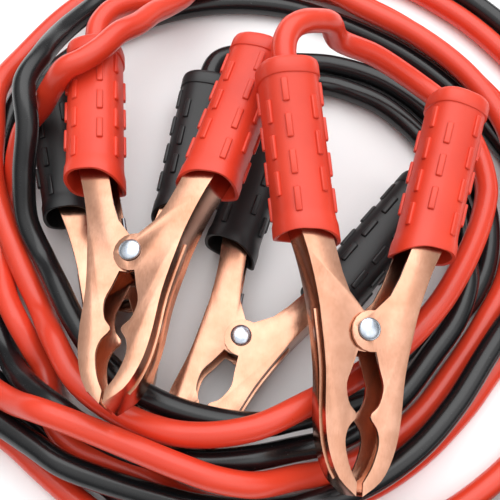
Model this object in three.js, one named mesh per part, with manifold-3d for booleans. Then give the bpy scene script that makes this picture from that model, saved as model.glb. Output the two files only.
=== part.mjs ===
// Jumper cable set: one red and one black cable, each with a sprung battery clamp on both
// ends, lying in a loose coil with the four clamps in its middle.
// Millimetres, +Z up. The floor is z = 0, and the jaws point to -Y.

import * as THREE from 'three';
import { mergeVertices } from 'three/addons/utils/BufferGeometryUtils.js';
import Module from 'manifold-3d';

// Steel arms of a clamp, in the clamp's own frame: rivet at the origin, jaws along -Y,
// rivet axis along Z
const SHEET = 1.2;                  // thickness of the stamped sheet
const CLAMP_WIDTH = 17;             // across the outer arm's two cheeks
const CHEEK_CLEARANCE = 0.3;        // between the cheeks of the two arms
const RIB_WIDTH = 5;                // raised rib along the back of each arm
const RIB_HEIGHT = 0.8;
const HUB_RADIUS = 7.4;             // round lobe of a cheek at the rivet
const HUB_OFFSET = [1.2, -0.5];
const ARM_END = 91;                 // how far the arms reach up into the grips
const HANDLE_ANGLE = 11.3;          // degrees between a handle and the clamp's axis
const HANDLE_START = [25.2, 44];    // middle of a handle where it becomes straight
const HANDLE_OUT = 6.1;             // from a handle's middle to its back
const HANDLE_IN = 5.6;              // and to the free edges of its cheeks

// Back of an arm from the straight handle down to the tip of the jaw
const BACK_CURVE = [[23.8, 25], [19.3, 11], [16.9, 0], [14.4, -15], [13.5, -30], [11.7, -41], [7.6, -50.5], [0.8, -56.5]];
// Free edge of a cheek from the straight handle down to the hub
const THROAT_CURVE = [[14.3, 30], [10.6, 19.5], [7.4, 12.8]];
// Free edge of a jaw from the hub to the tip: a round opening, a tooth, a long opening
const BITE_CURVE = [[4.9, -14], [6.5, -19.5], [5.2, -25.8], [2.2, -29.8], [4.8, -33.8], [5.8, -38], [5.1, -42.5], [3.4, -47.5], [0.8, -52]];

// Rivet
const RIVET_RADIUS = 2.6;
const RIVET_HEAD_RADIUS = 4.1;
const RIVET_HEAD_HEIGHT = 1.7;
const RIVET_CLEARANCE = 0.3;

// Torsion spring around the rivet
const SPRING_WIRE = 1.6;
const SPRING_RADIUS = 3.7;          // middle of the wire
const SPRING_LENGTH = 9.5;          // coil, along the rivet
const SPRING_LEG = 21;              // along the cable's handle
const SPRING_HOOK = 6.5;            // the short leg on the other side

// Grips
const GRIP_WALL_CLEARANCE = 0.3;    // between a grip and the steel in it
const GRIP_HALF_WIDTH = 10.8;
const GRIP_HALF_THICKNESS = 11.2;
const GRIP_SQUARENESS = 2.6;        // 2 is an ellipse
const GRIP_MOUTH = [22.6, 31];      // middle of the open mouth
const GRIP_LENGTH = 66.5;
const GRIP_BAND = 0.7;              // how far the bands at both ends stand out
const MOUTH_BAND_LENGTH = 5;
const END_BAND_LENGTH = 7;

// Cables
const CABLE_DIAMETER = 9.5;
const CABLE_SIDES = 8;
const CABLE_STEPS = 280;
const FLOOR_HEIGHT = 5.2;           // middle of a cable that lies on the floor

// The coil's middle, and a point of the coil: its angle from +X in degrees, its distance from
// the coil's middle, and its height
const COIL_CENTRE = [0, 8];
function coil(angle, radius, height = FLOOR_HEIGHT) {
  const turn = THREE.MathUtils.degToRad(angle);
  return [COIL_CENTRE[0] + radius * Math.cos(turn), COIL_CENTRE[1] + radius * Math.sin(turn), height];
}

// Middle line of the red cable, from the right red clamp to the left one
const RED_ROUTE = [
  [13.3, 45.9, 71.1], [12.7, 51, 72.05], [13.4, 56.5, 72.7], [16, 61.8, 72.3], [20.3, 66, 70.2], [25.7, 69.3, 66.5], [31.5, 72, 61.5],
  // clockwise, once round over the other turns and under the right red clamp
  coil(61, 75, 48), coil(51, 84, 37), coil(40, 92, 27), coil(30, 97.5, 23), coil(20, 100.5, 20), coil(8, 100, 18),
  coil(0, 96, 18.5), coil(-10, 90.5, 22), coil(-20, 86.5, 25), coil(-30, 84, 25.5), coil(-45, 81.5, 25),
  coil(-60, 80.5, 26), coil(-75, 84, 33), coil(-90, 91.5, 37), coil(-105, 96, 34.5), coil(-120, 97, 30.5),
  coil(-132, 96.5, 28.5), coil(-143, 93.3, 26), coil(-155, 92.5, 14), coil(-168, 96, 13.5), coil(-180, 102.5, 16.5),
  coil(-190, 110.5, 16.4), coil(-200, 118, 15), coil(-210, 130, 12.5), coil(-220, 136, 5.6), coil(-235, 141, FLOOR_HEIGHT),
  coil(-250, 141.5), coil(-262, 139, 8), coil(-272, 132.5, 15), coil(-283, 124.5, 15.8), coil(-295, 118.5, 15.6),
  coil(-310, 119, 14.8), coil(-325, 120, 14.8), coil(-340, 119, 15.6), coil(-350, 115, 13), coil(-360, 112.5, 7),
  // clockwise on the floor, then up over the turns in front of the clamps
  coil(-372, 109.5), coil(-383, 105), coil(-397, 102.5), coil(-410, 104), coil(-422, 105.5, 6.5), coil(-432, 107, 12),
  coil(-441, 107.5, 21), coil(-449, 110, 30), coil(-456, 109.3, 34.5), coil(-463, 107.5, 37), coil(-475, 106.5, 37.5), coil(-486, 109.8, 37.2),
  coil(-492, 113.7, 35.5), coil(-498, 118.5, 26), [-99, -64.5, 18.5],
  // the fold on the left, and back on the floor
  [-108, -58.5, 16], [-118, -51, 13], [-127, -41.5, 8], [-136, -32.5, 5.4], [-148, -27.5, FLOOR_HEIGHT],
  [-160, -31, FLOOR_HEIGHT], [-168, -40, FLOOR_HEIGHT], [-169, -52, FLOOR_HEIGHT], [-162, -62.5, FLOOR_HEIGHT],
  [-149, -67.5, FLOOR_HEIGHT], [-134, -68.5, FLOOR_HEIGHT], [-121, -69, FLOOR_HEIGHT], [-109, -72.5, FLOOR_HEIGHT],
  coil(-136, 129.5), coil(-128, 128.8), coil(-119, 130.5), coil(-110, 133), coil(-100, 136.5), coil(-90, 139),
  // anticlockwise, outside the other turns
  coil(-75, 138), coil(-60, 139), coil(-45, 141), coil(-30, 143.5), coil(-15, 146), coil(0, 147), coil(15, 147),
  coil(30, 147), coil(45, 147), coil(60, 147), coil(71, 146.5, 10), coil(82, 141, 21), coil(91, 132, 28),
  coil(100, 118, 30), coil(106, 104.7, 31.5), coil(111, 98.3, 36), coil(116, 93.3, 41.5), coil(122, 87.5, 47),
  coil(129, 84.5, 52.5), coil(136.5, 82, 55), coil(142.5, 83.3, 55.5), coil(146.8, 87, 54.3), coil(150.7, 92, 44),
  coil(154, 96.6, 33.5), coil(158.5, 102, 25), coil(164, 103.3, 17), coil(171, 103, 8), coil(179, 105), coil(189, 104.7, 7.5), coil(198, 104.3, 12),
  coil(205, 103, 13.5), coil(211, 102.3, 10.5), coil(217, 103, 6), coil(222, 106.3, 7), coil(226, 110.5, 13),
  coil(230.5, 113.8, 15.4), coil(236, 114.8, 15.4), coil(242, 112.5, 14), coil(249, 111.5, 9), coil(256, 114, 5.4),
  // anticlockwise again on the floor
  coil(264, 116), coil(275, 117), coil(290, 117.5), coil(303, 116), coil(317, 114.5), coil(329, 115.5),
  coil(340, 124.5), coil(350, 131), coil(2, 135), coil(15, 133), coil(30, 127), coil(45, 125.5), coil(60, 126.5),
  coil(75, 128), coil(90, 126.5, 6), coil(98, 124, 13.5), coil(106, 117, 20.5), [-42.5, 109.5, 27],
  [-52, 105, 31], [-60, 98.5, 34.3], [-64.8, 89.5, 36], [-65.5, 82.5, 36.5], [-65, 76.1, 37],
];

// Middle line of the black cable, from the left black clamp to the right one
const BLACK_ROUTE = [
  [-18.5, 76.05, 11.9], [-17.5, 82, 11.7], [-14.5, 88.5, 10.5], [-8.5, 93, 8], [0, 94.3, 5.8],
  // clockwise, inside the other turns, then up over the clamps' jaws
  coil(79, 85), coil(65, 90), coil(50, 95), coil(35, 98), coil(20, 100), coil(5, 102), coil(-8, 100.5), coil(-18, 97),
  coil(-30, 91), coil(-42, 89.5), coil(-54, 88.5, 8), coil(-66, 86.5, 14.5), coil(-78, 86.5, 22.5), coil(-88, 88, 26.3),
  coil(-105, 86.8, 26.3), coil(-120, 86, 26.5), coil(-135, 84, 26.8), coil(-146, 82.7, 25), coil(-157, 82.7, 22),
  coil(-168, 86, 17), coil(-178, 91.3, 21), coil(-188, 92.5, 31), coil(-198, 94, 41), coil(-207, 102.5, 44.8),
  coil(-216, 107.5, 40), coil(-226, 117.5, 28), coil(-238, 129, 16.5), coil(-250, 139, 15.8), coil(-260, 148, 14),
  // clockwise, outside all other turns
  coil(-270, 155, 6.5), coil(-285, 158), coil(-300, 158), coil(-315, 158), coil(-330, 158), coil(-345, 158),
  coil(-360, 157.5), coil(-375, 157), coil(-390, 156.5), coil(-403, 155, 6.5), coil(-414, 150, 11), coil(-424, 143.5, 15.8),
  coil(-434, 137, 15.8), coil(-444, 132, 13), coil(-455, 127, 5.5), coil(-467, 124.5), coil(-477, 119.5), coil(-489, 118),
  coil(-497, 118), [-98.9, -61.2, FLOOR_HEIGHT],
  // the fold on the left, around and over the red cable's fold
  [-107, -53.5, FLOOR_HEIGHT], [-114.5, -44, FLOOR_HEIGHT], [-121, -32.5, FLOOR_HEIGHT], [-124.5, -20, FLOOR_HEIGHT],
  [-127, -7, FLOOR_HEIGHT], [-130, 6, FLOOR_HEIGHT], [-138, 16, FLOOR_HEIGHT], [-150, 17.5, FLOOR_HEIGHT],
  [-160, 10, FLOOR_HEIGHT], [-162, -2, 6], [-159.5, -12, 10], [-156.5, -20, 14], [-153.5, -31, 15.8], [-147.5, -42, 15.8], [-139, -51.5, 15.8],
  [-128, -59.5, 15.8], [-116, -67.5, 15.8], [-105.5, -74, 15.8], coil(-139, 128.5, 16.5),
  // anticlockwise, on the turns below
  coil(-131, 124, 20.5), coil(-124, 122.7, 22.5), coil(-117, 120, 20.5), coil(-108, 117.7, 16.5), coil(-98, 117.5, 15.8),
  coil(-85, 117.5, 15.8), coil(-70, 116.5, 15.7), coil(-57, 114, 15.6), coil(-45, 111, 15.6), coil(-33, 109.5, 15.7),
  coil(-25, 111.5, 14.5), coil(-17, 117, 9), coil(-8, 121.5), coil(3, 124.3), coil(12, 121.3), coil(22, 117.8),
  coil(35, 115), coil(50, 113), coil(65, 112.5), coil(80, 115), coil(95, 116.8), coil(110, 118), coil(125, 119.3),
  coil(138, 119.5), coil(148, 122.5), coil(157, 118.5), coil(168, 114.5), coil(180, 116), coil(190, 114.8), coil(200, 112.3),
  coil(208, 112), coil(214, 112, 10.5), coil(221, 110.5, 19), coil(228, 108.7, 25.5), coil(236, 107.8, 26.4),
  coil(248, 106, 26.4), coil(260, 103, 26.3), coil(270, 100, 25.5), coil(279, 97.3, 20), coil(290, 97, 16.5),
  coil(305, 95, 16), coil(320, 92, 15.8), coil(332, 92.8, 16), coil(342, 92.3, 15.5), coil(350, 91, 10.5), coil(360, 91.5, 6),
  coil(15, 89.5), coil(30, 87.5), coil(45, 85), coil(55, 82), [39, 78.3, 5.1], [31.5, 79, 6.2],
  [24.5, 77, 8.5], [19, 72.3, 10.7], [15.6, 66.5, 11.7], [12.1, 57.75, 11.9],
];

// Each clamp: where its rivet is, and its turn, pitch and roll in degrees
const CLAMPS = {
  red_left: { rivet: [-41.8, -23.5, 48.2], turn: -7, pitch: -3, roll: -10, colour: 'red', cableSide: -1 },
  red_right: { rivet: [39.3, -51, 47.9], turn: -5, pitch: 8, roll: 16, colour: 'red', cableSide: -1 },
  black_right: { rivet: [-3.5, -44, 11.9], turn: -29, pitch: 0, roll: 0, colour: 'black', cableSide: -1 },
  black_left: { rivet: [-51.3, -21.5, 11.9], turn: 1.7, pitch: 0, roll: 0, colour: 'black', cableSide: 1 },
};

// Brings the middle under the four clamps to the origin
const ORIGIN_SHIFT = [3.87, 15.36, 0];

const RED = 0xe2432f;
const BLACK = 0x26272a;
const materials = {
  copper: new THREE.MeshStandardMaterial({ color: 0xd8a27c, roughness: 0.35, metalness: 1 }),
  zinc: new THREE.MeshStandardMaterial({ color: 0xc4ccd6, roughness: 0.3, metalness: 1 }),
  spring: new THREE.MeshStandardMaterial({ color: 0x8a8d92, roughness: 0.35, metalness: 1 }),
  redGrip: new THREE.MeshStandardMaterial({ color: RED, roughness: 0.45 }),
  blackGrip: new THREE.MeshStandardMaterial({ color: BLACK, roughness: 0.45 }),
  redCable: new THREE.MeshStandardMaterial({ color: RED, roughness: 0.35 }),
  blackCable: new THREE.MeshStandardMaterial({ color: BLACK, roughness: 0.3 }),
};

const wasm = await Module();
wasm.setup();

// A closed three.js geometry as a solid that can be joined and cut
function solid(geometry) {
  const bare = geometry.clone();
  bare.deleteAttribute('normal');
  bare.deleteAttribute('uv');
  const merged = mergeVertices(bare, 1e-4);
  return new wasm.Manifold(new wasm.Mesh({
    numProp: 3,
    vertProperties: new Float32Array(merged.attributes.position.array),
    triVerts: new Uint32Array(merged.index.array),
  }));
}

function geometryOf(manifold) {
  const mesh = manifold.getMesh();
  const geometry = new THREE.BufferGeometry();
  geometry.setAttribute('position', new THREE.BufferAttribute(new Float32Array(mesh.vertProperties), 3));
  geometry.setIndex(new THREE.BufferAttribute(new Uint32Array(mesh.triVerts), 1));
  geometry.computeVertexNormals();
  return geometry;
}

const vec2 = ([x, y]) => new THREE.Vector2(x, y);

// A plate with a flat outline, between two heights
function plate(points, low, high) {
  const geometry = new THREE.ExtrudeGeometry(new THREE.Shape(points), { depth: high - low, bevelEnabled: false });
  geometry.translate(0, 0, low);
  return solid(geometry);
}

// A point on a straight handle: along it from where it starts, and across towards its back
function onHandle(along, across) {
  const angle = THREE.MathUtils.degToRad(HANDLE_ANGLE);
  return new THREE.Vector2(
    HANDLE_START[0] + along * Math.sin(angle) + across * Math.cos(angle),
    HANDLE_START[1] + along * Math.cos(angle) - across * Math.sin(angle),
  );
}

const handleLength = (ARM_END - HANDLE_START[1]) / Math.cos(THREE.MathUtils.degToRad(HANDLE_ANGLE));

// The back of the right arm from the handle's end to the jaw's tip, moved out by a distance
function backLine(out, beyond = 0) {
  const curve = new THREE.SplineCurve([onHandle(0, HANDLE_OUT), ...BACK_CURVE.map(vec2)]);
  const samples = curve.getPoints(26);
  const line = samples.map((point, i) => {
    const before = samples[Math.max(i - 1, 0)];
    const after = samples[Math.min(i + 1, samples.length - 1)];
    const along = after.clone().sub(before).normalize();
    return new THREE.Vector2(point.x - along.y * out, point.y + along.x * out);
  });
  return [onHandle(handleLength + beyond, HANDLE_OUT + out), ...line];
}

// The free edge of the right arm's cheek from the jaw's tip, round the hub, to the handle's end
function freeLine(out, beyond = 0) {
  const bite = new THREE.SplineCurve(BITE_CURVE.map(vec2)).getPoints(26).reverse();
  const hub = [];
  for (let i = 0; i <= 10; i++) {
    const angle = THREE.MathUtils.degToRad(-75 - i * 20);
    hub.push(new THREE.Vector2(
      HUB_OFFSET[0] + HUB_RADIUS * Math.cos(angle),
      HUB_OFFSET[1] + HUB_RADIUS * Math.sin(angle),
    ));
  }
  const throat = [...THROAT_CURVE.map(vec2).reverse(), onHandle(0, -HANDLE_IN - out)];
  return [...bite, ...hub, ...throat, onHandle(handleLength + beyond, -HANDLE_IN - out)];
}

// One arm: a channel with its web at the back, two cheeks with a hub each, and a rib on the web
function armSolid(width) {
  const half = width / 2;
  const outline = [...backLine(0), ...freeLine(0)];
  const hollow = [...backLine(-SHEET, 10), vec2([-30, -56.5 + SHEET]), vec2([-30, 130])];
  const rib = [...backLine(RIB_HEIGHT).slice(9, 25), ...backLine(-SHEET / 2).slice(9, 25).reverse()];
  const hole = new THREE.CylinderGeometry(
    RIVET_RADIUS + RIVET_CLEARANCE, RIVET_RADIUS + RIVET_CLEARANCE, width + 2, 20);
  hole.rotateX(Math.PI / 2);
  return plate(outline, -half, half)
    .subtract(plate(hollow, -half + SHEET, half - SHEET))
    .add(plate(rib, -RIB_WIDTH / 2, RIB_WIDTH / 2))
    .subtract(solid(hole));
}

// A closed skin over rings of points, each ring with the same number of points
function skin(rings) {
  const count = rings[0].length;
  const positions = rings.flat().flatMap((point) => [point.x, point.y, point.z]);
  const index = [];
  for (let r = 0; r < rings.length - 1; r++) {
    for (let i = 0; i < count; i++) {
      const a = r * count + i;
      const b = r * count + (i + 1) % count;
      index.push(a, b, b + count, a, b + count, a + count);
    }
  }
  const last = (rings.length - 1) * count;
  for (let i = 1; i < count - 1; i++) {
    index.push(0, i + 1, i);
    index.push(last, last + i, last + i + 1);
  }
  const geometry = new THREE.BufferGeometry();
  geometry.setAttribute('position', new THREE.BufferAttribute(new Float32Array(positions), 3));
  geometry.setIndex(index);
  return geometry;
}

// A grip's section: a squarish oval ring at a distance along the grip
function gripRing(along, more) {
  const ring = [];
  for (let i = 0; i < 24; i++) {
    const angle = (i / 24) * 2 * Math.PI;
    const c = Math.cos(angle);
    const s = Math.sin(angle);
    const power = 2 / GRIP_SQUARENESS;
    ring.push(new THREE.Vector3(
      (GRIP_HALF_WIDTH + more) * Math.sign(c) * Math.abs(c) ** power,
      along,
      -(GRIP_HALF_THICKNESS + more) * Math.sign(s) * Math.abs(s) ** power,
    ));
  }
  return ring;
}

// A grip of the right arm: a soft sleeve with a band at each end, open at its mouth
function gripSolid(width) {
  const bands = [
    [0, GRIP_BAND - 0.3], [1, GRIP_BAND], [MOUTH_BAND_LENGTH, GRIP_BAND], [MOUTH_BAND_LENGTH + 0.5, 0],
    [GRIP_LENGTH - END_BAND_LENGTH - 0.5, 0], [GRIP_LENGTH - END_BAND_LENGTH, GRIP_BAND],
    [GRIP_LENGTH - 1.5, GRIP_BAND], [GRIP_LENGTH, GRIP_BAND - 1.5],
  ];
  const body = skin(bands.map(([along, more]) => gripRing(along, more)));
  body.rotateZ(THREE.MathUtils.degToRad(-HANDLE_ANGLE));
  body.translate(GRIP_MOUTH[0], GRIP_MOUTH[1], 0);
  const room = [
    ...backLine(GRIP_WALL_CLEARANCE, GRIP_WALL_CLEARANCE).slice(0, 16),
    vec2([10, 18]),
    ...freeLine(GRIP_WALL_CLEARANCE, GRIP_WALL_CLEARANCE).slice(-2),
  ];
  const half = width / 2 + GRIP_WALL_CLEARANCE;
  return solid(body).subtract(plate(room, -half, half));
}

// The rivet: a shank with a domed head on each side
function rivetSolid() {
  const half = CLAMP_WIDTH / 2 + 0.3;
  const profile = [
    [0, -half - RIVET_HEAD_HEIGHT], [RIVET_HEAD_RADIUS * 0.6, -half - RIVET_HEAD_HEIGHT * 0.8],
    [RIVET_HEAD_RADIUS, -half], [RIVET_RADIUS, -half], [RIVET_RADIUS, half], [RIVET_HEAD_RADIUS, half],
    [RIVET_HEAD_RADIUS * 0.6, half + RIVET_HEAD_HEIGHT * 0.8], [0, half + RIVET_HEAD_HEIGHT],
  ];
  const geometry = new THREE.LatheGeometry(profile.map(vec2), 20);
  geometry.rotateX(Math.PI / 2);
  return solid(geometry);
}

// The torsion spring: its coil around the rivet, a leg along one handle and a short hook
function springSolid() {
  const half = SPRING_LENGTH / 2;
  const inner = SPRING_RADIUS - SPRING_WIRE / 2;
  const outer = SPRING_RADIUS + SPRING_WIRE / 2;
  const profile = [[inner, -half], [outer, -half], [outer, half], [inner, half], [inner, -half]];
  const coil = new THREE.LatheGeometry(profile.map(vec2), 20);
  coil.rotateX(Math.PI / 2);
  let spring = solid(coil);
  for (const [side, lean, length] of [[-1, 18, SPRING_LEG], [1, 0, SPRING_HOOK]]) {
    const leg = new THREE.CylinderGeometry(SPRING_WIRE / 2, SPRING_WIRE / 2, length, 8);
    leg.translate(0, length / 2, side * (half - SPRING_WIRE / 2));
    leg.translate(side * SPRING_RADIUS, 0, 0);
    leg.rotateZ(THREE.MathUtils.degToRad(-side * lean));
    spring = spring.add(solid(leg));
  }
  return spring;
}

const mirrored = (manifold) => manifold.mirror([1, 0, 0]);

// The right arm is the outer one of each clamp, and the left arm sits inside its cheeks
const innerWidth = CLAMP_WIDTH - 2 * (SHEET + CHEEK_CLEARANCE);
const shapes = {
  outerArm: geometryOf(armSolid(CLAMP_WIDTH)),
  innerArm: geometryOf(mirrored(armSolid(innerWidth))),
  rightGrip: geometryOf(gripSolid(CLAMP_WIDTH)),
  leftGrip: geometryOf(mirrored(gripSolid(innerWidth))),
  rivet: geometryOf(rivetSolid()),
  spring: geometryOf(springSolid()),
};
const mirroredSpring = geometryOf(mirrored(springSolid()));

function named(name, geometry, material) {
  const mesh = new THREE.Mesh(geometry, material);
  mesh.name = name;
  return mesh;
}

// One clamp where it lies, with its cable going into the grip on cableSide
function clamp(name, { rivet, turn, pitch, roll, colour, cableSide }) {
  const group = new THREE.Group();
  const grip = colour === 'red' ? materials.redGrip : materials.blackGrip;
  group.add(named(`${name}_right_arm`, shapes.outerArm, materials.copper));
  group.add(named(`${name}_left_arm`, shapes.innerArm, materials.copper));
  group.add(named(`${name}_right_grip`, shapes.rightGrip, grip));
  group.add(named(`${name}_left_grip`, shapes.leftGrip, grip));
  group.add(named(`${name}_rivet`, shapes.rivet, materials.zinc));
  group.add(named(`${name}_spring`, cableSide < 0 ? shapes.spring : mirroredSpring, materials.spring));
  group.position.set(...rivet);
  group.rotation.set(
    THREE.MathUtils.degToRad(pitch), THREE.MathUtils.degToRad(roll), THREE.MathUtils.degToRad(turn), 'ZXY');
  return group;
}

// A cable: a round section drawn along its middle line
function cable(name, route, material) {
  const radius = CABLE_DIAMETER / 2;
  const corners = Array.from({ length: CABLE_SIDES }, (_, i) => {
    const angle = (i / CABLE_SIDES) * 2 * Math.PI;
    return new THREE.Vector2(radius * Math.cos(angle), radius * Math.sin(angle));
  });
  const line = new THREE.CatmullRomCurve3(route.map((point) => new THREE.Vector3(...point)));
  line.arcLengthDivisions = 4000;
  const geometry = new THREE.ExtrudeGeometry(
    new THREE.Shape(corners), { steps: CABLE_STEPS, bevelEnabled: false, extrudePath: line });
  return named(name, geometry, material);
}

const set = new THREE.Group();
for (const [name, place] of Object.entries(CLAMPS)) set.add(clamp(name, place));
set.add(cable('red_cable', RED_ROUTE, materials.redCable));
set.add(cable('black_cable', BLACK_ROUTE, materials.blackCable));
set.position.set(...ORIGIN_SHIFT);

export default set;
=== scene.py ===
"""Jumper cable set: two coiled cables and four sprung battery clamps, as photographed.

Metres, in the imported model's frame: the floor is z = 0, the jaws point to -Y.
"""

import logging
import math
from dataclasses import dataclass
from enum import Enum
from typing import Iterable, Mapping, Sequence

import bmesh
import bpy
from mathutils import Matrix, Vector


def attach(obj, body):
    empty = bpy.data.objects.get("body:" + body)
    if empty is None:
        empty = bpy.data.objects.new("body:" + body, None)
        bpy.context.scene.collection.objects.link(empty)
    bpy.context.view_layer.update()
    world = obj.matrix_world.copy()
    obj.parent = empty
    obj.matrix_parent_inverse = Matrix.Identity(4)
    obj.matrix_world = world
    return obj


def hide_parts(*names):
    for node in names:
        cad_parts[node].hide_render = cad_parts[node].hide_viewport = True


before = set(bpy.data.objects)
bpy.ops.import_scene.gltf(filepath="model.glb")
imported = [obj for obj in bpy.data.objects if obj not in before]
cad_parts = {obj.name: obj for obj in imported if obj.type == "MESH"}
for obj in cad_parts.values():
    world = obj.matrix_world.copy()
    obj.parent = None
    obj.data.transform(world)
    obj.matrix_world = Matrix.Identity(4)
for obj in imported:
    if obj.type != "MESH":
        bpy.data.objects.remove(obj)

log = logging.getLogger("jumper_cables")

MM = 0.001
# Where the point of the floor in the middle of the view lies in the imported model's frame
ORIGIN_SHIFT = Vector((3.87, 15.36, 0.0)) * MM


class Side(Enum):
    """A clamp's two arms, seen with the jaws pointing down."""

    RIGHT = "right"
    LEFT = "left"

    @property
    def sign(self) -> float:
        """Returns: which way across the clamp the arm lies."""
        return 1.0 if self is Side.RIGHT else -1.0


class Colour(Enum):
    """The insulation's colours."""

    RED = "red"
    BLACK = "black"


@dataclass(frozen=True)
class Place:
    """Where a clamp lies: its rivet in millimetres, and its angles in degrees."""

    name: str
    rivet: tuple[float, float, float]
    turn: float
    pitch: float
    roll: float
    colour: Colour
    cable_side: Side

    @property
    def matrix(self) -> Matrix:
        """Returns: the clamp's own frame, in metres."""
        turned = Matrix.Rotation(math.radians(self.turn), 4, "Z")
        pitched = Matrix.Rotation(math.radians(self.pitch), 4, "X")
        rolled = Matrix.Rotation(math.radians(self.roll), 4, "Y")
        return Matrix.Translation(Vector(self.rivet) * MM + ORIGIN_SHIFT) @ turned @ pitched @ rolled

    def body_of(self, side: Side) -> str:
        """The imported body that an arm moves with.

        Args:
            side: which of the arms.

        Returns: the body's name.
        """
        return "set" if side is self.cable_side else f"{self.name}_lever"


CLAMPS = (
    Place("red_left", (-41.8, -23.5, 48.2), -7, -3, -10, Colour.RED, Side.LEFT),
    Place("red_right", (39.3, -51.0, 47.9), -5, 8, 16, Colour.RED, Side.LEFT),
    Place("black_right", (-3.5, -44.0, 11.9), -29, 0, 0, Colour.BLACK, Side.LEFT),
    Place("black_left", (-51.3, -21.5, 11.9), 1.7, 0, 0, Colour.BLACK, Side.RIGHT),
)


def add_node(
    tree: bpy.types.NodeTree,
    kind: str,
    values: Mapping[str | int, object] | None = None,
    links: Mapping[str | int, bpy.types.NodeSocket] | None = None,
    **settings: object,
) -> bpy.types.Node:
    """Adds a node with its settings and links.

    Args:
        tree: the nodes it joins.
        kind: the node's type.
        values: constants for its inputs, by name or number.
        links: the sockets that feed its inputs, by name or number.
        settings: the node's own settings.

    Returns: the node.
    """
    node = tree.nodes.new(kind)
    for name, setting in settings.items():
        setattr(node, name, setting)
    for name, value in (values or {}).items():
        node.inputs[name].default_value = value
    for name, socket in (links or {}).items():
        tree.links.new(socket, node.inputs[name])
    return node


# Camera and light


@dataclass(frozen=True)
class Lamp:
    """A square area lamp that points at the model's middle, in metres and watts."""

    name: str
    place: tuple[float, float, float]
    size: float
    power: float

    def build(self) -> None:
        """Adds the lamp."""
        data = bpy.data.lights.new(self.name, "AREA")
        data.size = self.size
        data.energy = self.power
        lamp = bpy.data.objects.new(self.name, data)
        lamp.location = self.place
        lamp.rotation_euler = (-Vector(self.place)).to_track_quat("-Z", "Y").to_euler()
        bpy.context.collection.objects.link(lamp)
        log.info("lamp %s", self.name)


@dataclass(frozen=True)
class Sky:
    """A white sky, brighter overhead. Heights go from 0 at the horizon to 1 overhead."""

    low: float = 0.35
    high: float = 0.95
    low_strength: float = 0.25
    high_strength: float = 1.35

    def build(self) -> None:
        """Adds the sky as the scene's world."""
        world = bpy.data.worlds.new("studio")
        world.use_nodes = True
        tree = world.node_tree
        background = tree.nodes["Background"]
        background.inputs["Color"].default_value = (1.0, 1.0, 1.0, 1.0)
        where = add_node(tree, "ShaderNodeTexCoord")
        height = add_node(tree, "ShaderNodeSeparateXYZ", links={"Vector": where.outputs["Generated"]})
        heights = {"From Min": self.low, "From Max": self.high}
        strengths = {"To Min": self.low_strength, "To Max": self.high_strength}
        strength = add_node(
            tree, "ShaderNodeMapRange", heights | strengths, {"Value": height.outputs["Z"]})
        tree.links.new(strength.outputs["Result"], background.inputs["Strength"])
        bpy.context.scene.world = world
        log.info("sky")


@dataclass(frozen=True)
class Studio:
    """The photograph's viewpoint and its soft light on a pale floor, in metres and degrees."""

    elevation: float = 68.0
    distance: float = 0.380
    focal_length_mm: float = 63.8
    sensor_width_mm: float = 36.0
    nearest: float = 0.01
    floor_size: float = 6.0
    floor_height: float = -0.0002
    key: Lamp = Lamp("key_light", (0.15, 0.85, 1.25), size=1.9, power=21.0)
    fill: Lamp = Lamp("fill_light", (0.9, -0.5, 1.1), size=1.1, power=3.0)
    sky: Sky = Sky()

    def build(self) -> None:
        """Adds the camera, the floor, the lamps and the sky."""
        self._camera()
        self._floor()
        self.key.build()
        self.fill.build()
        self.sky.build()
        bpy.context.scene.view_settings.view_transform = "Standard"

    def _camera(self) -> None:
        """Adds the camera, which looks down at the middle of the photographed floor."""
        data = bpy.data.cameras.new("camera")
        data.lens = self.focal_length_mm
        data.sensor_width = self.sensor_width_mm
        data.clip_start = self.nearest
        camera = bpy.data.objects.new("camera", data)
        angle = math.radians(self.elevation)
        offset = Vector((0.0, -math.cos(angle), math.sin(angle))) * self.distance
        camera.location = ORIGIN_SHIFT + offset
        camera.rotation_euler = (math.radians(90.0 - self.elevation), 0.0, 0.0)
        bpy.context.collection.objects.link(camera)
        bpy.context.scene.camera = camera
        log.info("camera")

    def _floor(self) -> None:
        """Adds the pale floor that the set lies on."""
        bpy.ops.mesh.primitive_plane_add(size=self.floor_size, location=(0.0, 0.0, self.floor_height))
        floor = bpy.context.object
        floor.name = "floor"
        floor.data.materials.append(FLOOR.build())
        log.info("floor")


# Finishes


def linear(colour: str) -> tuple[float, float, float, float]:
    """An sRGB colour in linear light.

    Args:
        colour: the sRGB colour as six hex digits.

    Returns: its linear red, green, blue and an alpha of one.
    """
    parts = [int(colour[i : i + 2], 16) / 255 for i in (0, 2, 4)]
    red, green, blue = (c / 12.92 if c <= 0.04045 else ((c + 0.055) / 1.055) ** 2.4 for c in parts)
    return red, green, blue, 1.0


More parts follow.
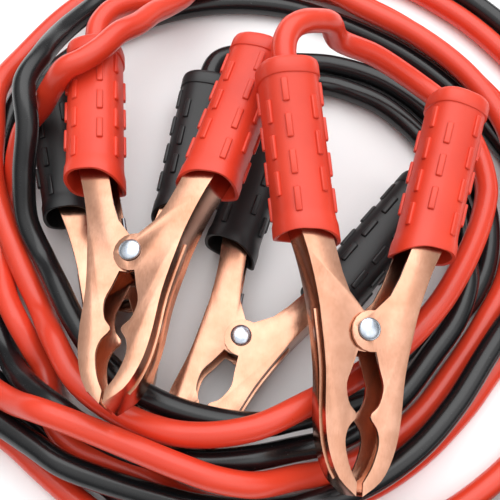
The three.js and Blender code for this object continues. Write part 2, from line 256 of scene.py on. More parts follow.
@dataclass(frozen=True)
class Finish:
    """A procedural material: a base colour that varies a little, with a fine relief.

    The patterns' sizes are in millimetres on the object's own coordinates.
    """

    name: str
    colour: str
    shade: str
    metallic: float = 0.0
    roughness: float = 0.5
    roughness_spread: float = 0.06
    patch_size: float = 16.7
    patch_detail: float = 3.0
    patch_range: tuple[float, float] = (0.3, 0.7)
    grain_size: float = 0.667
    grain_detail: float = 2.0
    grain_stretch: tuple[float, float, float] = (1.0, 1.0, 1.0)
    grain_depth: float = 0.02
    grain_contrast: float = 0.0
    speck_radius: float = 0.0
    speck_spacing: float = 3.85
    speck_colour: str = "A9A9AC"

    def build(self) -> bpy.types.Material:
        """Returns: the material, made once."""
        if self.name in bpy.data.materials:
            return bpy.data.materials[self.name]
        material = bpy.data.materials.new(self.name)
        material.use_nodes = True
        tree = material.node_tree
        shader = tree.nodes["Principled BSDF"]
        shader.inputs["Metallic"].default_value = self.metallic
        where = add_node(tree, "ShaderNodeTexCoord").outputs["Object"]
        patches = add_node(
            tree, "ShaderNodeTexNoise",
            {"Scale": 1 / (self.patch_size * MM), "Detail": self.patch_detail}, {"Vector": where},
        )
        stretched = add_node(
            tree, "ShaderNodeMapping", {"Scale": self.grain_stretch}, {"Vector": where})
        grain = add_node(
            tree, "ShaderNodeTexNoise",
            {"Scale": 1 / (self.grain_size * MM), "Detail": self.grain_detail},
            {"Vector": stretched.outputs["Vector"]},
        )
        colour = self._base_colour(tree, patches.outputs["Fac"], grain.outputs["Fac"])
        if self.speck_radius:
            colour = self._with_specks(tree, where, colour)
        tree.links.new(colour, shader.inputs["Base Color"])
        self._relief(tree, grain.outputs["Fac"], shader)
        return material

    def _base_colour(
        self, tree: bpy.types.NodeTree, patches: bpy.types.NodeSocket, grain: bpy.types.NodeSocket
    ) -> bpy.types.NodeSocket:
        """The colour, from the shade to the full colour.

        Args:
            tree: the material's nodes.
            patches: the value of the broad noise.
            grain: the value of the fine noise.

        Returns: the colour.
        """
        factor = patches
        if self.grain_contrast:
            blend = add_node(
                tree, "ShaderNodeMix", {"Factor": self.grain_contrast}, {"A": patches, "B": grain})
            factor = blend.outputs["Result"]
        ramp = add_node(tree, "ShaderNodeValToRGB", links={"Fac": factor})
        for element, position, colour in zip(
            ramp.color_ramp.elements, self.patch_range, (self.shade, self.colour)
        ):
            element.position = position
            element.color = linear(colour)
        return ramp.outputs["Color"]

    def _with_specks(
        self, tree: bpy.types.NodeTree, where: bpy.types.NodeSocket, colour: bpy.types.NodeSocket
    ) -> bpy.types.NodeSocket:
        """Dust specks on a colour.

        Args:
            tree: the material's nodes.
            where: the coordinates.
            colour: the colour without specks.

        Returns: the colour with specks.
        """
        dust = add_node(
            tree, "ShaderNodeTexVoronoi", {"Scale": 1 / (self.speck_spacing * MM)}, {"Vector": where})
        spot = add_node(
            tree, "ShaderNodeMath", {1: self.speck_radius / self.speck_spacing},
            {0: dust.outputs["Distance"]}, operation="LESS_THAN",
        )
        mix = add_node(
            tree, "ShaderNodeMix", links={"Factor": spot.outputs["Value"]}, data_type="RGBA")
        plain, speck = [socket for socket in mix.inputs if socket.type == "RGBA"]
        speck.default_value = linear(self.speck_colour)
        tree.links.new(colour, plain)
        return next(socket for socket in mix.outputs if socket.type == "RGBA")

    def _relief(
        self, tree: bpy.types.NodeTree, grain: bpy.types.NodeSocket, shader: bpy.types.Node
    ) -> None:
        """The fine grain's part in the roughness and the relief.

        Args:
            tree: the material's nodes.
            grain: the value of the fine noise.
            shader: the surface.
        """
        roughnesses = {
            "To Min": self.roughness - self.roughness_spread,
            "To Max": self.roughness + self.roughness_spread,
        }
        spread = add_node(tree, "ShaderNodeMapRange", roughnesses, {"Value": grain})
        tree.links.new(spread.outputs["Result"], shader.inputs["Roughness"])
        bump = add_node(
            tree, "ShaderNodeBump", {"Distance": self.grain_depth * MM}, {"Height": grain})
        tree.links.new(bump.outputs["Normal"], shader.inputs["Normal"])


# Matt paper without shine, a little less than pure white
FLOOR = Finish("white_studio_paper", "FCFCFC", "FAFAFB", roughness=0.9, grain_depth=0.0)
# Bright plating on stamped, brushed sheet, whose streaks run along the arms
COPPER = Finish(
    "copper_plated_steel", "CC9C84", "AD7B62", metallic=1.0, roughness=0.22, patch_size=11.1,
    grain_size=1.11, grain_stretch=(2.2, 0.5, 2.2), grain_depth=0.006, grain_contrast=0.2,
)
# Bluish white plating with a soft shine
ZINC = Finish("zinc_plated_steel", "DCE2EA", "B9C2CF", metallic=1.0, roughness=0.28, patch_size=2.5)
# Drawn wire, grey and duller than the plating
SPRING_STEEL = Finish("bare_spring_steel", "A5A7AB", "77797E", metallic=1.0, roughness=0.32)
# Moulded soft PVC, satin, with broad faint patches
SLEEVE = {
    Colour.RED: Finish(
        "red_soft_pvc", "DE4027", "D23620", roughness=0.42, patch_size=22.2, grain_depth=0.005,
    ),
    Colour.BLACK: Finish(
        "black_soft_pvc", "1B1C1E", "151617", roughness=0.44, patch_size=22.2, grain_depth=0.005,
    ),
}
# Extruded PVC, smoother than the sleeves, so its highlights are sharper. Dust shows on the black one.
INSULATION = {
    Colour.RED: Finish(
        "red_pvc_insulation", "DF422A", "D33821", roughness=0.30, patch_size=40.0, grain_depth=0.003,
    ),
    Colour.BLACK: Finish(
        "black_pvc_insulation", "141416", "0F0F11", roughness=0.25, patch_size=40.0,
        grain_depth=0.003, speck_radius=0.077,
    ),
}


# Cables


@dataclass(frozen=True)
class Coil:
    """The loose coil's middle and the height of a cable that lies on the floor, in millimetres."""

    centre: tuple[float, float] = (0.0, 8.0)
    floor_height: float = 5.2

    def point(self, angle: float, radius: float, height: float | None = None) -> tuple[float, float, float]:
        """A point of the coil.

        Args:
            angle: in degrees from +X.
            radius: distance from the coil's middle.
            height: of the cable's middle line, or None for the floor's.

        Returns: the point in millimetres.
        """
        turn = math.radians(angle)
        return (
            self.centre[0] + radius * math.cos(turn),
            self.centre[1] + radius * math.sin(turn),
            self.floor_height if height is None else height,
        )


coil = Coil().point
FLOOR_HEIGHT = Coil().floor_height

# Middle line of the red cable, from the right red clamp to the left one
RED_ROUTE = (
    (13.3, 45.9, 71.1), (12.7, 51, 72.05), (13.4, 56.5, 72.7), (16, 61.8, 72.3), (20.3, 66, 70.2),
    (25.7, 69.3, 66.5), (31.5, 72, 61.5),
    # clockwise, once round over the other turns and under the right red clamp
    coil(61, 75, 48), coil(51, 84, 37), coil(40, 92, 27), coil(30, 97.5, 23), coil(20, 100.5, 20),
    coil(8, 100, 18), coil(0, 96, 18.5), coil(-10, 90.5, 22), coil(-20, 86.5, 25), coil(-30, 84, 25.5),
    coil(-45, 81.5, 25), coil(-60, 80.5, 26), coil(-75, 84, 33), coil(-90, 91.5, 37),
    coil(-105, 96, 34.5), coil(-120, 97, 30.5), coil(-132, 96.5, 28.5), coil(-143, 93.3, 26),
    coil(-155, 92.5, 14), coil(-168, 96, 13.5), coil(-180, 102.5, 16.5), coil(-190, 110.5, 16.4),
    coil(-200, 118, 15), coil(-210, 130, 12.5), coil(-220, 136, 5.6), coil(-235, 141, FLOOR_HEIGHT),
    coil(-250, 141.5), coil(-262, 139, 8), coil(-272, 132.5, 15), coil(-283, 124.5, 15.8),
    coil(-295, 118.5, 15.6), coil(-310, 119, 14.8), coil(-325, 120, 14.8), coil(-340, 119, 15.6),
    coil(-350, 115, 13), coil(-360, 112.5, 7),
    # clockwise on the floor, then up over the turns in front of the clamps
    coil(-372, 109.5), coil(-383, 105), coil(-397, 102.5), coil(-410, 104), coil(-422, 105.5, 6.5),
    coil(-432, 107, 12), coil(-441, 107.5, 21), coil(-449, 110, 30), coil(-456, 109.3, 34.5),
    coil(-463, 107.5, 37), coil(-475, 106.5, 37.5), coil(-486, 109.8, 37.2), coil(-492, 113.7, 35.5),
    coil(-498, 118.5, 26), (-99, -64.5, 18.5),
    # the fold on the left, and back on the floor
    (-108, -58.5, 16), (-118, -51, 13), (-127, -41.5, 8), (-136, -32.5, 5.4),
    (-148, -27.5, FLOOR_HEIGHT), (-160, -31, FLOOR_HEIGHT), (-168, -40, FLOOR_HEIGHT),
    (-169, -52, FLOOR_HEIGHT), (-162, -62.5, FLOOR_HEIGHT), (-149, -67.5, FLOOR_HEIGHT),
    (-134, -68.5, FLOOR_HEIGHT), (-121, -69, FLOOR_HEIGHT), (-109, -72.5, FLOOR_HEIGHT),
    coil(-136, 129.5), coil(-128, 128.8), coil(-119, 130.5), coil(-110, 133), coil(-100, 136.5),
    coil(-90, 139),
    # anticlockwise, outside the other turns
    coil(-75, 138), coil(-60, 139), coil(-45, 141), coil(-30, 143.5), coil(-15, 146), coil(0, 147),
    coil(15, 147), coil(30, 147), coil(45, 147), coil(60, 147), coil(71, 146.5, 10), coil(82, 141, 21),
    coil(91, 132, 28), coil(100, 118, 30), coil(106, 104.7, 31.5), coil(111, 98.3, 36),
    coil(116, 93.3, 41.5), coil(122, 87.5, 47), coil(129, 84.5, 52.5), coil(136.5, 82, 55),
    coil(142.5, 83.3, 55.5), coil(146.8, 87, 54.3), coil(150.7, 92, 44), coil(154, 96.6, 33.5),
    coil(158.5, 102, 25), coil(164, 103.3, 17), coil(171, 103, 8), coil(179, 105),
    coil(189, 104.7, 7.5), coil(198, 104.3, 12), coil(205, 103, 13.5), coil(211, 102.3, 10.5),
    coil(217, 103, 6), coil(222, 106.3, 7), coil(226, 110.5, 13), coil(230.5, 113.8, 15.4),
    coil(236, 114.8, 15.4), coil(242, 112.5, 14), coil(249, 111.5, 9), coil(256, 114, 5.4),
    # anticlockwise again on the floor
    coil(264, 116), coil(275, 117), coil(290, 117.5), coil(303, 116), coil(317, 114.5),
    coil(329, 115.5), coil(340, 124.5), coil(350, 131), coil(2, 135), coil(15, 133), coil(30, 127),
    coil(45, 125.5), coil(60, 126.5), coil(75, 128), coil(90, 126.5, 6), coil(98, 124, 13.5),
    coil(106, 117, 20.5), (-42.5, 109.5, 27), (-52, 105, 31), (-60, 98.5, 34.3), (-64.8, 89.5, 36),
    (-65.5, 82.5, 36.5), (-65, 76.1, 37),
)

# Middle line of the black cable, from the left black clamp to the right one
BLACK_ROUTE = (
    (-18.5, 76.05, 11.9), (-17.5, 82, 11.7), (-14.5, 88.5, 10.5), (-8.5, 93, 8), (0, 94.3, 5.8),
    # clockwise, inside the other turns, then up over the clamps' jaws
    coil(79, 85), coil(65, 90), coil(50, 95), coil(35, 98), coil(20, 100), coil(5, 102),
    coil(-8, 100.5), coil(-18, 97), coil(-30, 91), coil(-42, 89.5), coil(-54, 88.5, 8),
    coil(-66, 86.5, 14.5), coil(-78, 86.5, 22.5), coil(-88, 88, 26.3), coil(-105, 86.8, 26.3),
    coil(-120, 86, 26.5), coil(-135, 84, 26.8), coil(-146, 82.7, 25), coil(-157, 82.7, 22),
    coil(-168, 86, 17), coil(-178, 91.3, 21), coil(-188, 92.5, 31), coil(-198, 94, 41),
    coil(-207, 102.5, 44.8), coil(-216, 107.5, 40), coil(-226, 117.5, 28), coil(-238, 129, 16.5),
    coil(-250, 139, 15.8), coil(-260, 148, 14),
    # clockwise, outside all other turns
    coil(-270, 155, 6.5), coil(-285, 158), coil(-300, 158), coil(-315, 158), coil(-330, 158),
    coil(-345, 158), coil(-360, 157.5), coil(-375, 157), coil(-390, 156.5), coil(-403, 155, 6.5),
    coil(-414, 150, 11), coil(-424, 143.5, 15.8), coil(-434, 137, 15.8), coil(-444, 132, 13),
    coil(-455, 127, 5.5), coil(-467, 124.5), coil(-477, 119.5), coil(-489, 118), coil(-497, 118),
    (-98.9, -61.2, FLOOR_HEIGHT),
    # the fold on the left, around and over the red cable's fold
    (-107, -53.5, FLOOR_HEIGHT), (-114.5, -44, FLOOR_HEIGHT), (-121, -32.5, FLOOR_HEIGHT),
    (-124.5, -20, FLOOR_HEIGHT), (-127, -7, FLOOR_HEIGHT), (-130, 6, FLOOR_HEIGHT),
    (-138, 16, FLOOR_HEIGHT), (-150, 17.5, FLOOR_HEIGHT), (-160, 10, FLOOR_HEIGHT), (-162, -2, 6),
    (-159.5, -12, 10), (-156.5, -20, 14), (-153.5, -31, 15.8), (-147.5, -42, 15.8), (-139, -51.5, 15.8),
    (-128, -59.5, 15.8), (-116, -67.5, 15.8), (-105.5, -74, 15.8), coil(-139, 128.5, 16.5),
    # anticlockwise, on the turns below
    coil(-131, 124, 20.5), coil(-124, 122.7, 22.5), coil(-117, 120, 20.5), coil(-108, 117.7, 16.5),
    coil(-98, 117.5, 15.8), coil(-85, 117.5, 15.8), coil(-70, 116.5, 15.7), coil(-57, 114, 15.6),
    coil(-45, 111, 15.6), coil(-33, 109.5, 15.7), coil(-25, 111.5, 14.5), coil(-17, 117, 9),
    coil(-8, 121.5), coil(3, 124.3), coil(12, 121.3), coil(22, 117.8), coil(35, 115), coil(50, 113),
    coil(65, 112.5), coil(80, 115), coil(95, 116.8), coil(110, 118), coil(125, 119.3), coil(138, 119.5),
    coil(148, 122.5), coil(157, 118.5), coil(168, 114.5), coil(180, 116), coil(190, 114.8),
    coil(200, 112.3), coil(208, 112), coil(214, 112, 10.5), coil(221, 110.5, 19),
    coil(228, 108.7, 25.5), coil(236, 107.8, 26.4), coil(248, 106, 26.4), coil(260, 103, 26.3),
    coil(270, 100, 25.5), coil(279, 97.3, 20), coil(290, 97, 16.5), coil(305, 95, 16),
    coil(320, 92, 15.8), coil(332, 92.8, 16), coil(342, 92.3, 15.5), coil(350, 91, 10.5),
    coil(360, 91.5, 6), coil(15, 89.5), coil(30, 87.5), coil(45, 85), coil(55, 82), (39, 78.3, 5.1),
    (31.5, 79, 6.2), (24.5, 77, 8.5), (19, 72.3, 10.7), (15.6, 66.5, 11.7), (12.1, 57.75, 11.9),
)


def catmull_rom(points: Sequence[Sequence[float]], steps: int = 9) -> list[Vector]:
    """A smooth line through the points, a centripetal Catmull-Rom curve.

    Args:
        points: what the line goes through.
        steps: how many pieces each stretch is cut into.

    Returns: the line's points.
    """
    route = [Vector(point) for point in points]
    route = [2 * route[0] - route[1], *route, 2 * route[-1] - route[-2]]
    line = []
    for before, start, end, after in zip(route, route[1:], route[2:], route[3:]):
        stretches = ((before, start), (start, end), (end, after))
        first, middle, last = ((b - a).length ** 0.5 for a, b in stretches)
        through = (end - start) / middle
        leave = ((start - before) / first - (end - before) / (first + middle) + through) * middle
        arrive = (through - (after - start) / (middle + last) + (after - end) / last) * middle
        for step in range(steps):
            t = step / steps
            line.append(
                start
                + leave * t
                + (3 * (end - start) - 2 * leave - arrive) * t**2
                + (2 * (start - end) + leave + arrive) * t**3
            )
    line.append(route[-2])
    return line


@dataclass(frozen=True)
class Cable:
    """One insulated cable, from a clamp's grip through the coil to the other clamp's."""

    colour: Colour
    route: Sequence[Sequence[float]]
    diameter: float = 9.5 * MM
    roundness: int = 6

    @property
    def line(self) -> list[Vector]:
        """Returns: the cable's middle line, in metres."""
        return [point * MM + ORIGIN_SHIFT for point in catmull_rom(self.route)]

    def build(self) -> bpy.types.Object:
        """Returns: the cable as a curve."""
        line = self.line
        name = f"{self.colour.value}_cable"
        data = bpy.data.curves.new(f"{name}_insulation", "CURVE")
        data.dimensions = "3D"
        data.bevel_depth = self.diameter / 2
        data.bevel_resolution = self.roundness
        data.use_fill_caps = True
        spline = data.splines.new("POLY")
        spline.points.add(len(line) - 1)
        for point, place in zip(spline.points, line):
            point.co = (*place, 1.0)
        spline.use_smooth = True
        data.materials.append(INSULATION[self.colour].build())
        cable = bpy.data.objects.new(f"{name}_insulation", data)
        bpy.context.collection.objects.link(cable)
        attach(cable, "set")
        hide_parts(name)
        return cable


# Meshes


# How near two points of a mesh are to be one
SAME_POINT = 2e-6


def mesh_object(
    name: str, verts: Iterable[Sequence[float]], faces: Iterable[Sequence[int]], finish: Finish
) -> bpy.types.Object:
    """A smooth mesh object.

    Args:
        name: the object's name.
        verts: its points.
        faces: its faces, as numbers of points.
        finish: its material.

    Returns: the object.
    """
    data = bpy.data.meshes.new(name)
    data.from_pydata([tuple(v) for v in verts], [], [tuple(f) for f in faces])
    data.materials.append(finish.build())
    shell = bpy.data.objects.new(name, data)
    bpy.context.collection.objects.link(shell)
    outward(data)
    data.shade_smooth()
    return shell


def outward(data: bpy.types.Mesh) -> None:
    """Merges a mesh's equal points and turns its normals outward.

    Args:
        data: the mesh.
    """
    work = bmesh.new()
    work.from_mesh(data)
    bmesh.ops.remove_doubles(work, verts=work.verts, dist=SAME_POINT)
    bmesh.ops.recalc_face_normals(work, faces=work.faces)
    work.to_mesh(data)
    work.free()


def baked(source: bpy.types.Object, name: str) -> bpy.types.Object:
    """A plain mesh of an object with its modifiers applied; the source is removed.

    Args:
        source: the object with live modifiers.
        name: the new object's name.

    Returns: the plain object, at the origin.
    """
    graph = bpy.context.evaluated_depsgraph_get()
    data = bpy.data.meshes.new_from_object(source.evaluated_get(graph), depsgraph=graph)
    data.name = name
    data.transform(source.matrix_world)
    plain = bpy.data.objects.new(name, data)
    bpy.context.collection.objects.link(plain)
    bpy.data.objects.remove(source)
    return plain


def lofted(rings: Sequence[Sequence[Vector]]) -> tuple[list[Vector], list[tuple[int, ...]]]:
    """A closed skin through rings.

    Args:
        rings: closed rings with the same number of points.

    Returns: its points and its faces, with a cap on each end.
    """
    count = len(rings[0])
    verts = [v for ring in rings for v in ring]
    faces: list[tuple[int, ...]] = []
    for r in range(len(rings) - 1):
        for i in range(count):
            j = (i + 1) % count
            faces.append((r * count + i, r * count + j, (r + 1) * count + j, (r + 1) * count + i))
    faces.append(tuple(range(count - 1, -1, -1)))
    last = (len(rings) - 1) * count
    faces.append(tuple(last + i for i in range(count)))
    return verts, faces


# Grips


@dataclass(frozen=True)
class Sleeve:
    """A grip: a soft oval sleeve with an end band, a flared mouth and raised bars. Millimetres."""

    half_width: float = 10.8
    half_thickness: float = 11.2
    squareness: float = 2.6
    mouth: tuple[float, float] = (22.6, 31.0)
    lean: float = 11.3
    length: float = 66.5
    band: float = 0.7
    end_band: float = 7.0
    flare: float = 0.7
    mouth_cut: float = 2.2
    cut_reach: float = 14.0
    wall: float = 1.5
    depth: float = 16.0
    sides: int = 56
    sharp_angle: float = 50.0
    bar_length: float = 9.0
    bar_width: float = 2.5
    bar_height: float = 0.9
    bar_rounding: float = 0.55
    bar_columns: int = 8
    bar_pitch: float = 13.5
    bar_rows: int = 4
    first_bar: float = 12.5
    last_bar_gap: float = 1.0

    def radius(self, angle: float, more: float = 0.0) -> Vector:
        """A point of the sleeve's section, a rounded oval.

        Args:
            angle: round the sleeve, in radians.
            more: how far outside the skin.

        Returns: the point, with the sleeve's length along Y.
        """
        c, s = math.cos(angle), math.sin(angle)
        power = 2 / self.squareness
        across = math.copysign(abs(c) ** power, c) * (self.half_width + more)
        up = math.copysign(abs(s) ** power, s) * (self.half_thickness + more)
        return Vector((across, 0.0, -up))

    def ring(self, along: float, more: float) -> list[Vector]:
        """A ring of the skin, which leans near the mouth because the mouth is cut obliquely.

        Args:
            along: where on the sleeve, from the mouth.
            more: how far outside the skin.

        Returns: the ring's points.
        """
        fade = max(0.0, 1.0 - along / self.cut_reach)
        points = []
        for i in range(self.sides):
            angle = 2 * math.pi * i / self.sides
            cut = self.mouth_cut * fade * (math.cos(angle) - 0.5 * math.cos(2 * angle))
            points.append(self.radius(angle, more) + Vector((0.0, along + cut, 0.0)))
        return points

    def frame(self, side: Side) -> Matrix:
        """Where the sleeve lies on its clamp.

        Args:
            side: the arm it is on.

        Returns: the sleeve's frame inside the clamp's, in metres.
        """
        mirror = Matrix.Diagonal((side.sign * MM, MM, MM, 1.0))
        lean = Matrix.Rotation(math.radians(-self.lean), 4, "Z")
        return mirror @ Matrix.Translation((*self.mouth, 0.0)) @ lean

    def rings(self) -> list[list[Vector]]:
        """Returns: the skin's rings, from the bottom of the hollow mouth round to the closed end."""
        end = self.length
        shoulder = end - self.end_band
        inner = [(self.depth, -self.wall), (3.0, -self.wall), (0.3, self.flare - self.wall + 0.2)]
        outer = [
            (0.0, self.flare - 0.4), (0.2, self.flare), (1.6, self.flare), (5.0, self.band * 0.9),
            (6.5, 0.25), (9.0, 0.0), (shoulder - 0.7, 0.0), (shoulder - 0.15, 0.15),
            (shoulder, self.band - 0.15), (shoulder + 0.25, self.band), (end - 2.4, self.band),
            (end - 1.1, self.band - 0.3), (end - 0.35, self.band - 0.95), (end, self.band - 2.0),
        ]
        return [self.ring(along, more) for along, more in [*inner, *outer]]

    def bar_points(self) -> list[tuple[Vector, Vector]]:
        """Returns: each bar's middle and its outward direction, in staggered columns."""
        points = []
        for column in range(self.bar_columns):
            angle = 2 * math.pi * (column + 0.5) / self.bar_columns
            stagger = self.bar_pitch / 2 if column % 2 else 0.0
            here = self.radius(angle)
            tangent = self.radius(angle + 0.02) - self.radius(angle - 0.02)
            outwards = tangent.cross(Vector((0.0, 1.0, 0.0))).normalized()
            if outwards.dot(here) < 0:
                outwards.negate()
            for row in range(self.bar_rows):
                along = self.first_bar + stagger + row * self.bar_pitch
                if along + self.bar_length / 2 > self.length - self.end_band - self.last_bar_gap:
                    continue
                points.append((here + Vector((0.0, along, 0.0)), outwards))
        return points

    def build(self, place: Place, side: Side) -> bpy.types.Object:
        """Adds the sleeve in the plain one's place.

        Args:
            place: the clamp.
            side: the arm it is on.

        Returns: the sleeve.
        """
        finish = SLEEVE[place.colour]
        name = f"{place.name}_{side.value}_sleeve"
        verts, faces = lofted(self.rings())
        skin = mesh_object(f"{name}_skin", verts, faces, finish)
        bars = scattered(f"{name}_bars", self.bar_points(), self._bar(finish), finish)
        sleeve = joined([skin, bars], name)
        sleeve.data.transform(place.matrix @ self.frame(side))
        outward(sleeve.data)
        smooth_by_angle(sleeve.data, self.sharp_angle)
        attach(sleeve, place.body_of(side))
        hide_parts(f"{place.name}_{side.value}_grip")
        log.info("sleeve %s", name)
        return sleeve

    def _bar(self, finish: Finish) -> bpy.types.Object:
        """One raised bar, half of it sunk in the skin.

        Args:
            finish: its material.

        Returns: the bar, at the origin and lying along Y.
        """
        size = Vector((self.bar_width, self.bar_length, 2 * self.bar_height))
        work = bmesh.new()
        bmesh.ops.create_cube(work, size=1.0)
        bmesh.ops.scale(work, vec=size, verts=work.verts)
        bmesh.ops.bevel(
            work, geom=work.edges, offset=self.bar_rounding, segments=3, profile=0.5, affect="EDGES")
        data = bpy.data.meshes.new("bar")
        work.to_mesh(data)
        work.free()
        data.materials.append(finish.build())
        bar = bpy.data.objects.new("bar", data)
        bpy.context.collection.objects.link(bar)
        return bar


def scattered(
    name: str, points: Sequence[tuple[Vector, Vector]], item: bpy.types.Object, finish: Finish
) -> bpy.types.Object:
    """Copies of an item on points, made with Geometry Nodes and made real.

    Args:
        name: the new object's name.
        points: each copy's place and its up direction; its length stays along Y.
        item: what is copied; it is removed.
        finish: the copies' material.

    Returns: one plain mesh object.
    """
    data = bpy.data.meshes.new(name)
    data.from_pydata([tuple(p) for p, _ in points], [], [])
    turns = data.attributes.new("turn", "FLOAT_VECTOR", "POINT")
    for value, (_, up) in zip(turns.data, points):
        value.vector = (0.0, math.atan2(up.x, up.z), 0.0)
    carrier = bpy.data.objects.new(name, data)
    bpy.context.collection.objects.link(carrier)
    group = bpy.data.node_groups.new(f"{name}_copies", "GeometryNodeTree")
    group.interface.new_socket("Geometry", in_out="INPUT", socket_type="NodeSocketGeometry")
    group.interface.new_socket("Item", in_out="INPUT", socket_type="NodeSocketObject")
    group.interface.new_socket("Geometry", in_out="OUTPUT", socket_type="NodeSocketGeometry")
    source = add_node(group, "NodeGroupInput")
    info = add_node(group, "GeometryNodeObjectInfo", links={"Object": source.outputs["Item"]})
    turn = add_node(
        group, "GeometryNodeInputNamedAttribute", {"Name": "turn"}, data_type="FLOAT_VECTOR")
    fed = {
        "Points": source.outputs["Geometry"],
        "Instance": info.outputs["Geometry"],
        "Rotation": turn.outputs["Attribute"],
    }
    copies = add_node(group, "GeometryNodeInstanceOnPoints", links=fed)
    real = add_node(
        group, "GeometryNodeRealizeInstances", links={"Geometry": copies.outputs["Instances"]})
    paint = add_node(
        group, "GeometryNodeSetMaterial", {"Material": finish.build()},
        {"Geometry": real.outputs["Geometry"]},
    )
    add_node(group, "NodeGroupOutput", links={"Geometry": paint.outputs["Geometry"]})
    modifier = carrier.modifiers.new("copies", "NODES")
    modifier.node_group = group
    modifier[group.interface.items_tree["Item"].identifier] = item
    bpy.context.view_layer.update()
    plain = baked(carrier, name)
    bpy.data.objects.remove(item)
    return plain


def joined(parts: Sequence[bpy.types.Object], name: str) -> bpy.types.Object:
    """One object of several plain mesh objects, which are removed.

    Args:
        parts: the objects, all with the first one's material.
        name: the new object's name.

    Returns: the new object.
    """
    work = bmesh.new()
    for part in parts:
        work.from_mesh(part.data)
    data = bpy.data.meshes.new(name)
    work.to_mesh(data)
    work.free()
    data.materials.append(parts[0].data.materials[0])
    for polygon in data.polygons:
        polygon.material_index = 0
    whole = bpy.data.objects.new(name, data)
    bpy.context.collection.objects.link(whole)
    for part in parts:
        bpy.data.objects.remove(part)
    return whole


def smooth_by_angle(data: bpy.types.Mesh, degrees: float) -> None:
    """Shades a mesh smooth except at its sharp edges.

    Args:
        data: the mesh.
        degrees: the angle at which an edge is sharp.
    """
    data.shade_smooth()
    data.set_sharp_from_angle(angle=math.radians(degrees))


# Steel


@dataclass(frozen=True)
class Arm:
    """A stamped arm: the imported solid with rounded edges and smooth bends. Metres and degrees."""

    edge: float = 0.35 * MM
    edge_angle: float = 32.0
    flat_angle: float = 1.0
    sharp_angle: float = 30.0
    same_point: float = 5e-6

    def build(self, place: Place, side: Side) -> bpy.types.Object:
        """Adds the arm in the plain one's place.

        Args:
            place: the clamp.
            side: which of its arms.

        Returns: the arm.
        """
        node = f"{place.name}_{side.value}_arm"
        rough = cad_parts[node]
        source = bpy.data.objects.new(f"{node}_rough", rough.data.copy())
        bpy.context.collection.objects.link(source)
        work = bmesh.new()
        work.from_mesh(source.data)
        bmesh.ops.remove_doubles(work, verts=work.verts, dist=self.same_point)
        bmesh.ops.dissolve_limit(
            work, angle_limit=math.radians(self.flat_angle), verts=work.verts, edges=work.edges)
        work.to_mesh(source.data)
        work.free()
        bevel = source.modifiers.new("edges", "BEVEL")
        bevel.width = self.edge
        bevel.segments = 3
        bevel.limit_method = "ANGLE"
        bevel.angle_limit = math.radians(self.edge_angle)
        bpy.context.view_layer.update()
        arm = baked(source, f"{node}_plate")
        arm.data.materials.clear()
        arm.data.materials.append(COPPER.build())
        smooth_by_angle(arm.data, self.sharp_angle)
        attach(arm, place.body_of(side))
        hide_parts(node)
        log.info("arm %s", node)
        return arm


@dataclass(frozen=True)
class Rivet:
    """A rivet with a domed head on each side. Millimetres and degrees."""

    shank: float = 2.6
    head: float = 4.1
    height: float = 1.7
    brim: float = 0.25
    crown: float = 0.15
    half: float = 8.8
    sides: int = 48
    steps: int = 10
    sharp_angle: float = 40.0

    def profile(self) -> list[tuple[float, float]]:
        """Returns: radius and height up the rivet, from the middle of one dome to the other."""
        dome = []
        for i in range(self.steps):
            angle = math.pi / 2 * i / self.steps
            rise = self.brim + (self.height - self.brim) * math.sin(angle)
            dome.append((self.head * math.cos(angle), self.half + rise))
        crown = (self.crown, self.half + self.height)
        top = [(self.shank, self.half), (self.head, self.half), *dome, crown]
        return [(r, -z) for r, z in reversed(top)] + top

    def build(self, place: Place) -> bpy.types.Object:
        """Adds the rivet in the plain one's place.

        Args:
            place: the clamp.

        Returns: the rivet.
        """
        angles = [2 * math.pi * i / self.sides for i in range(self.sides)]
        rings = [[Vector((r * math.cos(a), r * math.sin(a), z)) for a in angles] for r, z in self.profile()]
        verts, faces = lofted(rings)
        rivet = mesh_object(f"{place.name}_rivet_domed", verts, faces, ZINC)
        rivet.data.transform(place.matrix @ Matrix.Scale(MM, 4))
        smooth_by_angle(rivet.data, self.sharp_angle)
        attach(rivet, "set")
        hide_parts(f"{place.name}_rivet")
        log.info("rivet of %s", place.name)
        return rivet


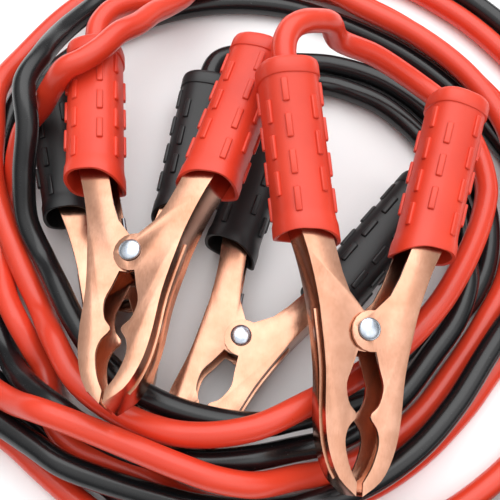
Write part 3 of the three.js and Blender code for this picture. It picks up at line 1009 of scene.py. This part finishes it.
@dataclass(frozen=True)
class Spring:
    """The torsion spring: wire wound round the rivet, a long leg and a hook. Millimetres, degrees."""

    wire: float = 1.6
    radius: float = 3.7
    length: float = 9.5
    turns: float = 5.0
    steps_per_turn: int = 24
    leg: float = 21.0
    leg_bend: float = 0.3
    hook: float = 6.5
    lean: float = 18.0
    roundness: int = 3
    sharp_angle: float = 50.0

    def line(self) -> list[Vector]:
        """Returns: the wire's middle line, for a clamp whose cable is on the left."""
        half = self.length / 2 - self.wire / 2
        angle = math.radians(self.lean)
        start = Vector((-self.radius, 0.0, -half))
        leg = Vector((-math.sin(angle), math.cos(angle), 0.0)) * self.leg
        turned = Matrix.Rotation(angle, 3, "Z")
        points = [turned @ start + leg, turned @ start + leg * self.leg_bend]
        steps = int(self.turns * self.steps_per_turn)
        sweep = 2 * math.pi * (self.turns - 0.5) - angle
        for i in range(steps + 1):
            t = i / steps
            at = math.pi + angle + sweep * t
            height = half * (2 * t - 1)
            points.append(Vector((self.radius * math.cos(at), self.radius * math.sin(at), height)))
        points.append(Vector((self.radius, self.hook, half)))
        return points

    def build(self, place: Place) -> bpy.types.Object:
        """Adds the spring in the plain one's place.

        Args:
            place: the clamp.

        Returns: the spring.
        """
        data = bpy.data.curves.new("wire", "CURVE")
        data.dimensions = "3D"
        data.bevel_depth = self.wire / 2
        data.bevel_resolution = self.roundness
        data.use_fill_caps = True
        spline = data.splines.new("POLY")
        line = self.line()
        spline.points.add(len(line) - 1)
        for point, at in zip(spline.points, line):
            point.co = (*at, 1.0)
        wire = bpy.data.objects.new("wire", data)
        bpy.context.collection.objects.link(wire)
        bpy.context.view_layer.update()
        spring = baked(wire, f"{place.name}_spring_wire")
        flip = 1.0 if place.cable_side is Side.LEFT else -1.0
        spring.data.transform(place.matrix @ Matrix.Diagonal((flip * MM, MM, MM, 1.0)))
        spring.data.materials.clear()
        spring.data.materials.append(SPRING_STEEL.build())
        outward(spring.data)
        smooth_by_angle(spring.data, self.sharp_angle)
        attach(spring, "set")
        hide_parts(f"{place.name}_spring")
        log.info("spring of %s", place.name)
        return spring


@dataclass(frozen=True)
class Clamp:
    """One clamp: two stamped arms on a rivet, a spring and two soft grips."""

    place: Place
    arm: Arm = Arm()
    sleeve: Sleeve = Sleeve()
    rivet: Rivet = Rivet()
    spring: Spring = Spring()

    def build(self) -> None:
        """Adds the clamp's pieces."""
        for side in Side:
            self.arm.build(self.place, side)
            self.sleeve.build(self.place, side)
        self.rivet.build(self.place)
        self.spring.build(self.place)


def main() -> None:
    """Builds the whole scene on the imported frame."""
    logging.basicConfig(level=logging.INFO)
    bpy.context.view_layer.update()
    Studio().build()
    Cable(Colour.RED, RED_ROUTE).build()
    Cable(Colour.BLACK, BLACK_ROUTE).build()
    for place in CLAMPS:
        Clamp(place).build()


if __name__ == "__main__":
    main()
